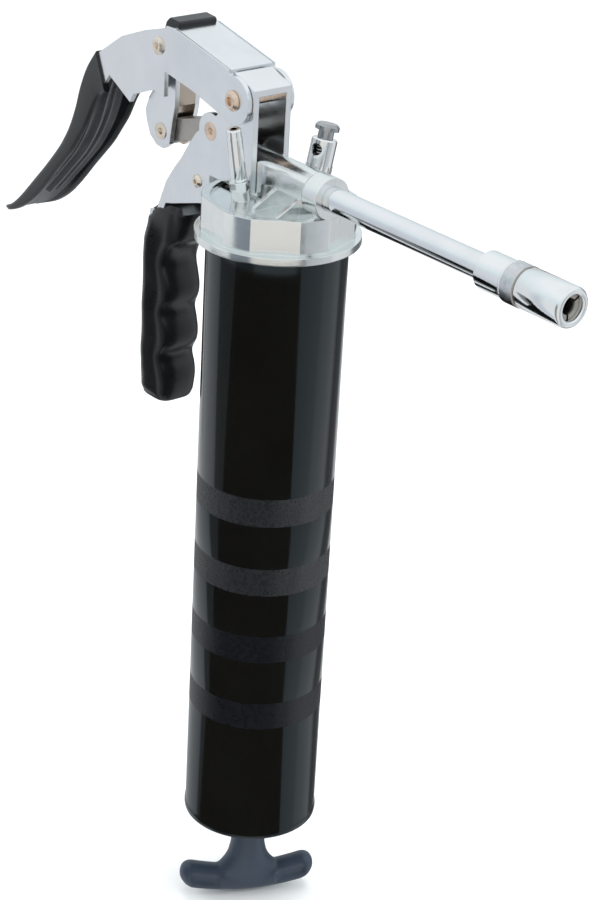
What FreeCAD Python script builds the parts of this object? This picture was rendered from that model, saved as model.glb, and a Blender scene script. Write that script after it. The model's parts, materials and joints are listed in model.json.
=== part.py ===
import FreeCAD, Part
import math
import os
import re
import Sketcher
from FreeCAD import Placement, Rotation, Vector

# Lever-action grease gun for 400 g cartridges.
# Frame, millimetres: origin on the barrel axis at the lower face of the head's collar,
# +Z up the barrel axis, +X forward along the outlet pipe, +Y to the left of the gun.

os.makedirs("parts", exist_ok=True)
doc = FreeCAD.newDocument("grease_gun")

# ---------------------------------------------------------------- sizes
SIZES = {
    "barrel_r": (28.5, "barrel outside radius"),
    "barrel_length": (266.6, "barrel length below the collar"),
    "barrel_wall": (1.2, "barrel sheet thickness"),
    "neck_height": (11.0, "threaded neck inside the collar"),
    "collar_height": (17.0, "collar height over its lower face"),
    "flange_height": (3.0, "lower flange of the collar"),
    "roof_z": (12.2, "underside of the collar roof"),
    "dish_z": (15.6, "floor of the shallow dish on the collar"),
    "pump_z": (25.2, "height of the pump line"),
    "plunger_r": (3.2, "plunger radius"),
    "run_gap": (0.05, "radial running clearance"),
    "body_half": (6.5, "half width of the pump body"),
    "tube_r": (5.0, "extension pipe radius"),
    "tube_bore": (2.0, "extension pipe bore radius"),
    "tube_end": (127.0, "front end of the extension pipe"),
    "boss_end": (31.5, "front face of the outlet boss"),
    "coupler_r": (8.0, "coupler radius over the knurled ring"),
    "coupler_end": (161.4, "front face of the coupler"),
    "lever_x": (-17.5, "lever pin"),
    "lever_z": (52.5, "lever pin"),
    "link_x": (-67.0, "upper link pin"),
    "link_z": (62.0, "upper link pin"),
    "crank_x": (-34.0, "crank pin"),
    "crank_z": (35.2, "crank pin"),
    "eye_x": (-71.0, "lower link pin"),
    "eye_z": (24.5, "lower link pin"),
    "arm_length": (10.3, "crank arm that drives the plunger"),
    "arm_lean": (18.8, "rest angle of that arm, degrees behind straight down"),
    "lever_pin_r": (3.0, "lever pin shank"),
    "crank_pin_r": (2.5, "crank pin shank"),
    "link_pin_r": (2.2, "shanks of the two link pins"),
    "frame_in": (6.7, "inner face of the bracket plates"),
    "frame_out": (9.2, "outer face of the bracket plates"),
    "lever_in": (9.4, "inner face of the lever plates"),
    "lever_out": (11.4, "outer face of the lever plates"),
    "sleeve_half": (12.4, "half width of the plastic lever handle"),
    "link_in": (4.0, "inner face of the link plates"),
    "link_out": (6.2, "outer face of the link plates"),
    "grip_half": (10.5, "half width of the pistol grip"),
    "grip_bottom": (-95.0, "lower end of the pistol grip"),
    "rod_r": (3.5, "follower rod radius"),
    "handle_drop": (39.8, "barrel's lower end to the middle of the rod handle's bar"),
}
sheet = doc.addObject("Spreadsheet::Sheet", "Sizes")
for row, (alias, (value, note)) in enumerate(SIZES.items(), start=1):
    sheet.set(f"A{row}", alias)
    sheet.set(f"B{row}", str(value))
    sheet.set(f"C{row}", note)
    sheet.setAlias(f"B{row}", alias)
doc.recompute()

TO_X = Rotation(Vector(0, 1, 0), 90)
TO_Y = Rotation(Vector(1, 0, 0), -90)
TO_Z = Rotation()
SIDE = Rotation(Vector(1, 0, 0), 90)
count = 0
finished = []


# ---------------------------------------------------------------- helpers
def ex(value):
    """Write a size expression with the sheet's name in front of each size."""
    return re.sub(
        r"[a-z]\w*",
        lambda word: "Sizes." + word.group(0) if word.group(0) in SIZES else word.group(0),
        str(value),
    )


def add(kind, stem):
    global count
    count += 1
    return doc.addObject(kind, f"{stem}_{count}")


def put(obj, at=(0, 0, 0), turn=TO_Z):
    """Give an object its placement, tied to the sizes."""
    obj.Placement = Placement(Vector(0, 0, 0), turn)
    for letter, value in zip("xyz", at):
        obj.setExpression(f"Placement.Base.{letter}", ex(value))
    return obj


def rod(radius, low, high, turn=TO_Z, at=(0, 0, 0)):
    """Round bar along the turned axis from low to high."""
    obj = add("Part::Cylinder", "rod")
    obj.setExpression("Radius", ex(radius))
    obj.setExpression("Height", ex(f"({high}) - ({low})"))
    x, y, z = at
    if turn is TO_X:
        x = f"({x}) + ({low})"
    elif turn is TO_Y:
        y = f"({y}) + ({low})"
    else:
        z = f"({z}) + ({low})"
    return put(obj, (x, y, z), turn)


def block(x, y, z):
    """Box between two values on each axis."""
    obj = add("Part::Box", "block")
    for prop, span in (("Length", x), ("Width", y), ("Height", z)):
        obj.setExpression(prop, ex(f"({span[1]}) - ({span[0]})"))
    return put(obj, (x[0], y[0], z[0]))


def ball(radius, at):
    obj = add("Part::Sphere", "ball")
    obj.setExpression("Radius", ex(radius))
    return put(obj, at)


def outline(points):
    """Closed sketch through the points, every corner held by two dimensions."""
    sketch = add("Sketcher::SketchObject", "outline")
    total = len(points)
    for i in range(total):
        a = Vector(math.cos(2 * math.pi * i / total), math.sin(2 * math.pi * i / total), 0)
        j = (i + 1) % total
        b = Vector(math.cos(2 * math.pi * j / total), math.sin(2 * math.pi * j / total), 0)
        sketch.addGeometry(Part.LineSegment(a, b), False)
    for i in range(total):
        sketch.addConstraint(Sketcher.Constraint("Coincident", i, 2, (i + 1) % total, 1))
    for i, corner in enumerate(points):
        for kind, value in zip(("DistanceX", "DistanceY"), corner):
            index = sketch.addConstraint(Sketcher.Constraint(kind, -1, 1, i, 1, 1.0))
            sketch.setExpression(f"Constraints[{index}]", ex(value))
    return sketch


def plate(points, low, high, anchor=(0, 0), at=(0, 0, 0)):
    """Flat plate: side outline (x, z) from an anchor, thickness along y."""
    side = [(f"({anchor[0]}) + ({x})", f"({anchor[1]}) + ({z})") for x, z in points]
    sketch = outline(side)
    put(sketch, (at[0], f"({at[1]}) + ({low})", at[2]), SIDE)
    obj = add("Part::Extrusion", "plate")
    obj.Base = sketch
    obj.DirMode = "Custom"
    obj.Dir = Vector(0, 1, 0)
    obj.setExpression("LengthFwd", ex(f"({high}) - ({low})"))
    obj.Solid = True
    return obj


def pair(points, low, high, anchor=(0, 0)):
    """The same plate on both sides of the middle plane."""
    right = plate(points, f"-({high})", f"-({low})", anchor)
    left = plate(points, low, high, anchor)
    return [right, left]


def turned(points, at=(0, 0, 0), turn=TO_Z):
    """Turned shape from (radius, length) corners about the turned axis."""
    sketch = outline(points)
    sketch.Placement = Placement(Vector(0, 0, 0), SIDE)
    obj = add("Part::Revolution", "turned")
    obj.Source = sketch
    obj.Axis = Vector(0, 0, 1)
    obj.Base = Vector(0, 0, 0)
    obj.Angle = 360
    obj.Solid = True
    return put(obj, at, turn)


def fuse(*shapes):
    obj = add("Part::MultiFuse", "fuse")
    obj.Shapes = list(shapes)
    obj.Refine = True
    return obj


def cut(base, *tools):
    obj = add("Part::Cut", "cut")
    obj.Base = base
    obj.Tool = tools[0] if len(tools) == 1 else fuse(*tools)
    obj.Refine = True
    return obj


def common(*shapes):
    obj = add("Part::MultiCommon", "common")
    obj.Shapes = list(shapes)
    return obj


def coil(radius, wire, low, high, turns, at=(0, 0, 0), turn=TO_Z):
    """Compression spring, wire inside the low and high ends."""
    helix = add("Part::Helix", "helix")
    length = f"(({high}) - ({low}) - 2 * ({wire}))"
    helix.setExpression("Radius", ex(radius))
    helix.setExpression("Height", ex(length))
    helix.setExpression("Pitch", ex(f"{length} / {turns}"))
    ring = add("Part::Circle", "ring")
    ring.setExpression("Radius", ex(wire))
    put(helix, (0, 0, f"({low}) + ({wire})"))
    put(ring, (radius, 0, f"({low}) + ({wire})"), SIDE)
    obj = add("Part::Sweep", "coil")
    obj.Sections = [ring]
    obj.Spine = (helix, [])
    obj.Solid = True
    obj.Frenet = True
    return put(obj, at, turn)


def node(name, obj):
    """Name a finished sub-part; the label is also its file name."""
    obj.Label = name
    finished.append(obj)
    return obj


# ---------------------------------------------------------------- head
PUMP = (0, 0, "pump_z")
LEAN_NIPPLE = Rotation(Vector(1, 0, 0), 10)
LEAN_VALVE = Rotation(Vector(1, 0, 0), -12.2)
NIPPLE = (-8, -13.5, "dish_z + 4")
VALVE = (-2, 20.4, "dish_z + 6.9")

facets = add("Part::Prism", "facets")
facets.Polygon = 6
facets.setExpression("Circumradius", ex("(barrel_r + 0.8) / cos(30)"))
facets.setExpression("Height", ex("collar_height"))
put(facets, (0, 0, 0), Rotation(Vector(0, 0, 1), -11.2))
collar = fuse(
    common(rod("barrel_r + 2.3", 0, "collar_height"), facets),
    rod("barrel_r + 4.8", 0, "flange_height"),
)
collar = cut(
    collar,
    rod("barrel_r - 0.25", -1, "roof_z"),
    rod("barrel_r - 1.2", "dish_z", "collar_height + 1"),
)
pump_shell = common(
    fuse(
        rod(8, -21.5, 29, TO_X, PUMP),
        block((-21.5, 29), (-8, 8), ("roof_z + 1", "pump_z")),
    ),
    block((-22, 30), ("-body_half", "body_half"), (0, "pump_z + 9")),
)
lug = plate(
    [
        ("-(barrel_r + 0.1)", 4),
        (-45.5, 4),
        (-45.5, 10.4),
        (-40.7, "collar_height"),
        ("-(barrel_r + 0.1)", "collar_height"),
    ],
    "-(body_half + 0.1)",
    "body_half + 0.1",
)
ribs = []
for rib_x in (5, 19):
    for side in (-1, 1):
        sketch = outline(
            [
                (f"{side} * (body_half - 1)", "roof_z + 1"),
                (f"{side} * 17", "roof_z + 1"),
                (f"{side} * 17", "dish_z + 1.2"),
                (f"{side} * (body_half - 1)", "pump_z - 2"),
            ]
        )
        turn = Rotation(Vector(1, 1, 1), 120)
        put(sketch, (rib_x - 1, 0, 0), turn)
        rib = add("Part::Extrusion", "rib")
        rib.Base = sketch
        rib.DirMode = "Custom"
        rib.Dir = Vector(1, 0, 0)
        rib.LengthFwd = 2
        rib.Solid = True
        ribs.append(rib)
casting = fuse(
    collar,
    pump_shell,
    rod(8.3, 23, "boss_end", TO_X, PUMP),
    lug,
    turned([(0, -6), (3.7, -6), (3.7, 0), (0, 0)], NIPPLE, LEAN_NIPPLE),
    turned([(0, -9), (5.8, -9), (5.8, 0), (0, 0)], VALVE, LEAN_VALVE),
    *ribs,
)
casting = cut(
    casting,
    rod("plunger_r + run_gap", -22, 12, TO_X, PUMP),
    rod("plunger_r + 1.6", -19.5, -16.5, TO_X, PUMP),
    rod(1.5, 11, 15, TO_X, PUMP),
    rod(3.4, 14, 24, TO_X, PUMP),
    rod("tube_r", 24, "boss_end + 1", TO_X, PUMP),
    rod(1.8, "roof_z - 1", "pump_z", TO_Z, (7, 0, 0)),
    turned([(0, -9), (1.2, -9), (1.2, -5), (2.6, -5), (2.6, 4), (0, 4)], NIPPLE, LEAN_NIPPLE),
    turned([(0, -12), (1.2, -12), (1.2, -5), (3, -5), (3, 4), (0, 4)], VALVE, LEAN_VALVE),
    rod(1.5, -8, 8, TO_Y, (-41.3, 0, 12.3)),
    rod(1.5, -8, 8, TO_Y, (-14, 0, "pump_z - 5.4")),
)
node("head_casting", casting)

# ---------------------------------------------------------------- bracket and grip
FRAME = [
    (-7, "collar_height"),
    (-7, "lever_z + 6"),
    (-19.8, "lever_z + 10.3"),
    ("lever_x - 9.5", "lever_z - 2.5"),
    ("crank_x + 4", "crank_z + 7.8"),
    ("crank_x - 9.4", "crank_z - 3.2"),
    (-47.5, 26.5),
    (-52.5, 19),
    (-57.5, 13),
    (-62.5, 6),
    (-65.5, -1),
    (-68.4, -8),
    (-73, -9),
    (-73, "grip_bottom + 20"),
    (-65, "grip_bottom + 20"),
    (-65, -9),
    (-62.5, -3.5),
    (-57, -2),
    (-40.5, 3.2),
    ("-(barrel_r + 5.1)", 5),
    ("-(barrel_r + 5.1)", "collar_height"),
]
frame_right, frame_left = pair(FRAME, "frame_in", "frame_out")
lobes = []
for low, high in (("-frame_out", "-frame_in"), ("frame_in", "frame_out")):
    lobes.append(rod(9, low, high, TO_Y, ("lever_x", 0, "lever_z")))
    lobes.append(rod(7.5, low, high, TO_Y, ("crank_x", 0, "crank_z")))
web = plate(
    [
        (-7, "lever_z + 3.4"),
        (-7, "lever_z + 6"),
        (-19.8, "lever_z + 10.3"),
        (-19.8, "lever_z + 7.7"),
    ],
    "-(frame_in + 0.5)",
    "frame_in + 0.5",
)
bracket = fuse(frame_right, frame_left, web, *lobes)
sinks = []
for side in (-1, 1):
    sink = add("Part::Cone", "sink")
    sink.setExpression("Radius1", ex("crank_pin_r"))
    sink.Radius2 = 3.8
    sink.setExpression("Height", ex("frame_out - frame_in"))
    turn = TO_Y if side > 0 else SIDE
    put(sink, ("crank_x", f"{side} * frame_in", "crank_z"), turn)
    sinks.append(sink)
bracket = cut(
    bracket,
    rod("lever_pin_r", -12, 12, TO_Y, ("lever_x", 0, "lever_z")),
    rod("crank_pin_r", -12, 12, TO_Y, ("crank_x", 0, "crank_z")),
    rod(1.5, -12, 12, TO_Y, (-41.3, 0, 12.3)),
    rod(1.5, -12, 12, TO_Y, (-14, 0, "pump_z - 5.4")),
    *sinks,
)
node("handle_bracket", bracket)

rivets = []
for at in ((-41.3, 0, 12.3), (-14, 0, "pump_z - 5.4")):
    head_r = 2.7 if at[0] < -20 else 2.3
    rivets.append(
        turned(
            [
                (0, "-(frame_out + 0.3)"),
                (0.7, "-(frame_out + 0.3)"),
                (0.9, "-(frame_out + 1.4)"),
                (head_r - 1.2, "-(frame_out + 1.4)"),
                (head_r, "-(frame_out + 0.4)"),
                (head_r, "-frame_out"),
                (1.5, "-frame_out"),
                (1.5, "frame_out"),
                (head_r, "frame_out"),
                (head_r, "frame_out + 0.4"),
                (head_r - 1.2, "frame_out + 1.4"),
                (0.9, "frame_out + 1.4"),
                (0.7, "frame_out + 0.3"),
                (0, "frame_out + 0.3"),
            ],
            at,
            TO_Y,
        )
    )
rivet_set = add("Part::Compound", "rivets")
rivet_set.Links = rivets
node("bracket_rivets", rivet_set)

GRIP = [
    (-80, -14),
    (-78.4, -8.6),
    (-74.5, -7),
    (-68, -6.4),
    (-60, -3.6),
    (-53.5, -3),
    (-51.8, -6),
    (-52.6, -12),
    (-55, -19),
    (-59.2, -23),
    (-61.8, -28),
    (-62.2, -32),
    (-60.4, -37),
    (-59, -42),
    (-59.4, -46.5),
    (-61.6, -51),
    (-62, -54),
    (-60.4, -58),
    (-59, -63),
    (-59.6, -67.5),
    (-62.6, -72),
    (-62.8, -75),
    (-60.6, -79),
    (-59.6, -84),
    (-60.2, "grip_bottom + 5"),
    (-63, "grip_bottom + 1.2"),
    (-67, "grip_bottom"),
    (-74, "grip_bottom"),
    (-78, "grip_bottom + 1.4"),
    (-80, "grip_bottom + 5"),
]
PLAN = [
    (-81, -4.6),
    (-79.4, -8.2),
    (-76, "-grip_half"),
    (-58, "-grip_half"),
    (-53.6, -8.6),
    (-51, -5),
    (-51, 5),
    (-53.6, 8.6),
    (-58, "grip_half"),
    (-76, "grip_half"),
    (-79.4, 8.2),
    (-81, 4.6),
]
plan = outline(PLAN)
put(plan, (0, 0, "grip_bottom - 1"))
column = add("Part::Extrusion", "column")
column.Base = plan
column.DirMode = "Custom"
column.Dir = Vector(0, 0, 1)
column.setExpression("LengthFwd", ex("-(grip_bottom) + 1"))
column.Solid = True
grip = common(plate(GRIP, "-(grip_half + 1)", "grip_half + 1"), column)
grip = cut(
    grip,
    *pair(FRAME, "frame_in", "frame_out"),
    block((-64, -50), ("-frame_in", "frame_in"), (-6.2, 0)),
)
node("pistol_grip", grip)

# ---------------------------------------------------------------- pins of the bracket
PIN_HEAD = "lever_out + 0.1"
node(
    "lever_pin",
    turned(
        [
            (0, f"-({PIN_HEAD} + 0.2)"),
            (1.4, f"-({PIN_HEAD} + 0.2)"),
            (1.8, f"-({PIN_HEAD} + 1.8)"),
            (2.8, f"-({PIN_HEAD} + 1.8)"),
            (4.1, f"-({PIN_HEAD} + 0.6)"),
            (4.1, f"-({PIN_HEAD})"),
            ("lever_pin_r", f"-({PIN_HEAD})"),
            ("lever_pin_r", PIN_HEAD),
            (4.1, PIN_HEAD),
            (4.1, f"{PIN_HEAD} + 0.6"),
            (2.8, f"{PIN_HEAD} + 1.8"),
            (1.8, f"{PIN_HEAD} + 1.8"),
            (1.4, f"{PIN_HEAD} + 0.2"),
            (0, f"{PIN_HEAD} + 0.2"),
        ],
        ("lever_x", 0, "lever_z"),
        TO_Y,
    ),
)
node(
    "crank_pin",
    turned(
        [
            (0, "-(frame_out - 1)"),
            (1.1, "-(frame_out - 1)"),
            (1.5, "-frame_out"),
            (3.8, "-frame_out"),
            ("crank_pin_r", "-frame_in"),
            ("crank_pin_r", "frame_in"),
            (3.8, "frame_out"),
            (1.5, "frame_out"),
            (1.1, "frame_out - 1"),
            (0, "frame_out - 1"),
        ],
        ("crank_x", 0, "crank_z"),
        TO_Y,
    ),
)

# ---------------------------------------------------------------- fittings on the collar
nipple_hex = add("Part::Prism", "nipple_hex")
nipple_hex.Polygon = 6
nipple_hex.Circumradius = 4
nipple_hex.Height = 3.8
nipple = cut(
    fuse(
        nipple_hex,
        turned(
            [
                (0, -5),
                (2.6, -5),
                (2.6, 0),
                (3.4, 0),
                (3.4, 4.6),
                (3.1, 5.2),
                (3.1, 22),
                (2.9, 22.6),
                (2.9, 25.2),
                (2.4, 25.7),
                (0, 25.7),
            ]
        ),
    ),
    rod(1.4, -6, 27),
)
put(nipple, NIPPLE, LEAN_NIPPLE)
node("filler_nipple", nipple)

valve_hex = add("Part::Prism", "valve_hex")
valve_hex.Polygon = 6
valve_hex.Circumradius = 5.6
valve_hex.Height = 3.4
valve = cut(
    fuse(
        valve_hex,
        turned([(0, -5), (3, -5), (3, 0), (5, 0), (5.2, 3.4), (5.2, 13.4), (4.6, 14), (0, 14)]),
    ),
    rod(3.2, 3, 15),
    rod(1.2, -6, 4),
    put(rod(2.4, 0, 8), (0, 0, 9.6), Rotation(Vector(0, 0, 1), Vector(0.3, -0.954, 0))),
)
put(valve, VALVE, LEAN_VALVE)
node("bleeder_body", valve)
node("bleeder_spring", coil(2.4, 0.35, 3, 12.5, 7, VALVE, LEAN_VALVE))
node(
    "bleeder_button",
    turned(
        [
            (0, 12.6),
            ("3.2 - run_gap", 12.6),
            ("3.2 - run_gap", 17.4),
            (4.9, 17.4),
            (4.9, 19),
            (3.9, 20),
            (0, 20),
        ],
        VALVE,
        LEAN_VALVE,
    ),
)

# ---------------------------------------------------------------- pump line
node(
    "plunger_seal",
    turned(
        [
            ("plunger_r + run_gap", -19.5),
            ("plunger_r + 1.6", -19.5),
            ("plunger_r + 1.6", -16.5),
            ("plunger_r + run_gap", -16.5),
        ],
        PUMP,
        TO_X,
    ),
)
rod_pin_x = "(crank_x - arm_length * sin(arm_lean))"
rod_pin_z = "(crank_z - arm_length * cos(arm_lean))"
plunger = fuse(
    rod("plunger_r", f"{rod_pin_x} + 6", 4.8, TO_X, PUMP),
    block(
        (f"{rod_pin_x} - 4.5", f"{rod_pin_x} + 7.5"),
        (-5.6, 5.6),
        ("pump_z - 4.6", "crank_z - 7.2"),
    ),
)
plunger = cut(
    plunger,
    block(
        (f"{rod_pin_x} - 6", f"{rod_pin_x} + 5"),
        (-4, 4),
        ("pump_z - 6", "pump_z + 6"),
    ),
    block(
        (f"{rod_pin_x} - 2.1", f"{rod_pin_x} + 2.1"),
        (-6, 6),
        ("pump_z - 2.7", "pump_z + 2.5"),
    ),
)
node("plunger", plunger)
node("outlet_ball", ball(2.5, (16.05, 0, "pump_z")))
node("outlet_spring", coil(2.3, 0.3, 18.6, 23.9, 5, PUMP, TO_X))
node(
    "extension_tube",
    turned(
        [
            ("tube_bore", 24),
            ("tube_r", 24),
            ("tube_r", "tube_end"),
            ("tube_bore", "tube_end"),
        ],
        PUMP,
        TO_X,
    ),
)

# ---------------------------------------------------------------- coupler
node(
    "coupler_body",
    turned(
        [
            ("tube_r", "coupler_end - 43.7"),
            ("coupler_r - 1.4", "coupler_end - 43.7"),
            ("coupler_r - 0.6", "coupler_end - 42.9"),
            ("coupler_r - 0.6", "coupler_end - 30.4"),
            ("coupler_r - 2.4", "coupler_end - 30.4"),
            ("coupler_r - 2.4", "coupler_end - 22.4"),
            ("coupler_r - 3.8", "coupler_end - 22.4"),
            ("coupler_r - 3.8", "coupler_end - 18.4"),
            (3.1, "coupler_end - 18.4"),
            (3.1, "coupler_end - 21.4"),
            (1.5, "coupler_end - 21.4"),
            (1.5, "tube_end"),
            ("tube_r", "tube_end"),
        ],
        PUMP,
        TO_X,
    ),
)
node(
    "coupler_sleeve",
    turned(
        [
            ("coupler_r - 2.4", "coupler_end - 30.4"),
            ("coupler_r - 0.5", "coupler_end - 30.4"),
            ("coupler_r", "coupler_end - 29.9"),
            ("coupler_r", "coupler_end - 23.2"),
            ("coupler_r - 0.2", "coupler_end - 22.7"),
            ("coupler_r - 0.2", "coupler_end - 1.6"),
            ("coupler_r - 1.2", "coupler_end"),
            ("coupler_r - 2.5", "coupler_end"),
            ("coupler_r - 3.1", "coupler_end - 0.6"),
            ("coupler_r - 3.1", "coupler_end - 1.4"),
            ("coupler_r - 1.9", "coupler_end - 8.4"),
            ("coupler_r - 1.9", "coupler_end - 22.4"),
            ("coupler_r - 2.4", "coupler_end - 22.4"),
        ],
        PUMP,
        TO_X,
    ),
)
node(
    "coupler_seal",
    turned(
        [
            (1, "coupler_end - 21.4"),
            (3.1, "coupler_end - 21.4"),
            (3.1, "coupler_end - 18.4"),
            (2.7, "coupler_end - 15.6"),
            (1, "coupler_end - 15.6"),
        ],
        PUMP,
        TO_X,
    ),
)
node(
    "coupler_spring",
    coil("coupler_r - 3", 0.45, "coupler_end - 22.35", "coupler_end - 13.45", 4, PUMP, TO_X),
)
jaw_ring = turned(
    [
        (3.3, "coupler_end - 13.4"),
        ("coupler_r - 2", "coupler_end - 13.4"),
        ("coupler_r - 2", "coupler_end - 8.6"),
        ("coupler_r - 2.97", "coupler_end - 2.6"),
        (3.2, "coupler_end - 2.6"),
        (2.9, "coupler_end - 3.4"),
        (2.9, "coupler_end - 4.8"),
        (3.3, "coupler_end - 5.3"),
    ],
    PUMP,
    TO_X,
)
gaps = []
for k in range(3):
    slit = add("Part::Box", "slit")
    slit.Length = 16
    slit.Width = 0.9
    slit.Height = 10
    turn = Rotation(Vector(1, 0, 0), 60 + 120 * k)
    shift = turn.multVec(Vector(0, -0.45, 0))
    put(
        slit,
        ("coupler_end - 15", f"{shift.y:.4f}", f"pump_z + ({shift.z:.4f})"),
        turn,
    )
    gaps.append(slit)
node("coupler_jaws", cut(jaw_ring, *gaps))

# ---------------------------------------------------------------- lever
LEVER_AT = ("lever_x", "lever_z")
LEVER = [
    (-3.1, 9.8),
    (-39.5, 19.0),
    (-44.5, 18.8),
    (-45.5, 17.6),
    (-60, 13.2),
    (-75, 7.2),
    (-92.5, -4.5),
    (-99, -12.5),
    (-104.5, -24),
    (-99, -20.5),
    (-91.5, -21.5),
    (-83.5, -11.5),
    (-68.5, -19),
    (-66, -15),
    (-52.5, -9.5),
    (-45, -10.5),
    (-45, 0),
    (-26.5, -3),
    (0, -9.7),
    (6, -6),
    (6, 6),
]
GROOVE = [(-3.1, 10.7), (-3.1, 12.4), (-39.5, 20.1), (-39.5, 18.3)]
lever = pair(LEVER, "lever_in", "lever_out", LEVER_AT)
for low, high in (("-lever_out", "-lever_in"), ("lever_in", "lever_out")):
    lever.append(rod(9.7, low, high, TO_Y, ("lever_x", 0, "lever_z")))
lever.append(
    plate(
        [(-3.1, 9.6), (-3.1, 11.4), (-39.5, 19.1), (-39.5, 17.2)],
        "-lever_out",
        "lever_out",
        LEVER_AT,
    )
)
lever = cut(
    fuse(*lever),
    rod("lever_pin_r + run_gap", -14, 14, TO_Y, ("lever_x", 0, "lever_z")),
    rod("link_pin_r", -14, 14, TO_Y, ("link_x", 0, "link_z")),
    *pair(GROOVE, "lever_out - 1", "lever_out - 0.6", LEVER_AT),
)
node("lever", lever)
node(
    "link_pin",
    turned(
        [
            (0, "-(lever_out + 0.2)"),
            (1, "-(lever_out + 0.2)"),
            (1.4, "-(lever_out + 1.3)"),
            (2.4, "-(lever_out + 1.3)"),
            (3.7, "-(lever_out + 0.5)"),
            (3.7, "-lever_out"),
            ("link_pin_r", "-lever_out"),
            ("link_pin_r", "lever_out"),
            (3.7, "lever_out"),
            (3.7, "lever_out + 0.5"),
            (2.4, "lever_out + 1.3"),
            (1.4, "lever_out + 1.3"),
            (1, "lever_out + 0.2"),
            (0, "lever_out + 0.2"),
        ],
        ("link_x", 0, "link_z"),
        TO_Y,
    ),
)

BACK = [
    (-92.5, -4.5),
    (-98.5, -12.5),
    (-102.5, -21),
    (-107.5, -32),
    (-112.5, -40.5),
    (-117.5, -47),
    (-122.5, -53.5),
    (-132.5, -64.5),
    (-142.5, -74.5),
    (-152.5, -84.5),
    (-162.5, -92),
    (-167.5, -94.4),
    (-167, -95.5),
    (-160, -95),
    (-152.5, -91),
    (-142.5, -84.5),
    (-140.5, -82.5),
    (-132.5, -74.5),
    (-122.5, -63.5),
    (-117.5, -57.5),
    (-112.5, -51.5),
    (-107.5, -44.5),
    (-102.5, -37.5),
    (-97.5, -28.5),
    (-92.5, -21.5),
    (-86, -17),
]
HOLLOW = [
    (-88, -9.5),
    (-92.5, -9.5),
    (-95.6, -14.4),
    (-99.4, -22.6),
    (-104.4, -33.6),
    (-109.6, -42.4),
    (-114.8, -49.2),
    (-119.9, -55.7),
    (-130, -66.9),
    (-140, -77),
    (-147, -83),
    (-140, -89),
    (-80, -40),
    (-80, -10),
]
tip = add("Part::Cylinder", "tip")
tip.setExpression("Radius", ex("sleeve_half + 1"))
tip.Height = 200
put(tip, ("lever_x - 154.7", 0, "lever_z - 150"))
reach = fuse(
    block(("lever_x - 154.7", 20), ("-(sleeve_half)", "sleeve_half"), (-90, 120)),
    common(tip, block((-200, 0), ("-(sleeve_half)", "sleeve_half"), (-120, 120))),
)
shell = common(plate(BACK, "-sleeve_half", "sleeve_half", LEVER_AT), reach)
shell = cut(
    shell,
    plate(HOLLOW, "-(lever_in - 0.2)", "lever_in - 0.2", LEVER_AT),
    *pair(LEVER, "lever_in", "lever_out", LEVER_AT),
)
tongue = plate(
    [
        (-38.6, 19.5),
        (-38.6, 20.5),
        (-39.4, 21.2),
        (-45.6, 21.7),
        (-47.8, 19.6),
        (-48.6, 15.8),
        (-60, 12.2),
        (-75, 6.2),
        (-91.5, -4.8),
        (-90, -8.5),
        (-75, 3.2),
        (-60, 9.6),
        (-54, 12.8),
        (-49.5, 14.4),
        (-45, 15.3),
        (-39.6, 16.9),
        (-39.6, 19.5),
    ],
    "-lever_in",
    "lever_in",
    LEVER_AT,
)
rib = plate(
    [(-92, -6), (-107, -30), (-122, -52), (-140, -72), (-139, -78), (-118, -57), (-101, -31), (-90, -13)],
    -1.2,
    1.2,
    LEVER_AT,
)
node("lever_grip", fuse(shell, tongue, rib))

# ---------------------------------------------------------------- link and crank
LINK = [
    (-61.5, 56),
    (-62, 36.5),
    (-63.5, 30),
    (-65, 20.5),
    (-69, 17.6),
    (-73.5, 17.8),
    (-78.4, 21),
    (-81, 26.5),
    (-82, 31),
    (-79.5, 37),
    (-74.5, 44),
    (-73.5, 56),
    (-72.8, 61),
    (-70.5, 64.6),
    (-67, 66.3),
    (-63.5, 65.2),
    (-61.5, 62.5),
]
link = pair(LINK, "link_in", "link_out")
link.append(plate([(-64, 37), (-62, 37), (-61.5, 56), (-62.2, 64.5), (-64, 64.5)], "-link_out", "link_out"))
link.append(rod(4.2, "-(lever_in - 0.1)", "lever_in - 0.1", TO_Y, ("link_x", 0, "link_z")))
link = cut(
    fuse(*link),
    rod("link_pin_r + run_gap", -12, 12, TO_Y, ("link_x", 0, "link_z")),
    rod("link_pin_r", -12, 12, TO_Y, ("eye_x", 0, "eye_z")),
)
node("drive_link", link)
node(
    "crank_link_pin",
    turned(
        [
            (0, "-(link_out - 1)"),
            (1, "-(link_out - 1)"),
            (1.4, "-(link_out + 0.35)"),
            (3.5, "-(link_out + 0.35)"),
            (3.5, "-link_out"),
            ("link_pin_r", "-link_out"),
            ("link_pin_r", "link_out"),
            (3.5, "link_out"),
            (3.5, "link_out + 0.35"),
            (1.4, "link_out + 0.35"),
            (1, "link_out - 1"),
            (0, "link_out - 1"),
        ],
        ("eye_x", 0, "eye_z"),
        TO_Y,
    ),
)
ARM = "(link_in - 0.2)"
slope = "(crank_z - eye_z) / sqrt((crank_z - eye_z)^2 + (crank_x - eye_x)^2)"
level = "(crank_x - eye_x) / sqrt((crank_z - eye_z)^2 + (crank_x - eye_x)^2)"
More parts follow.
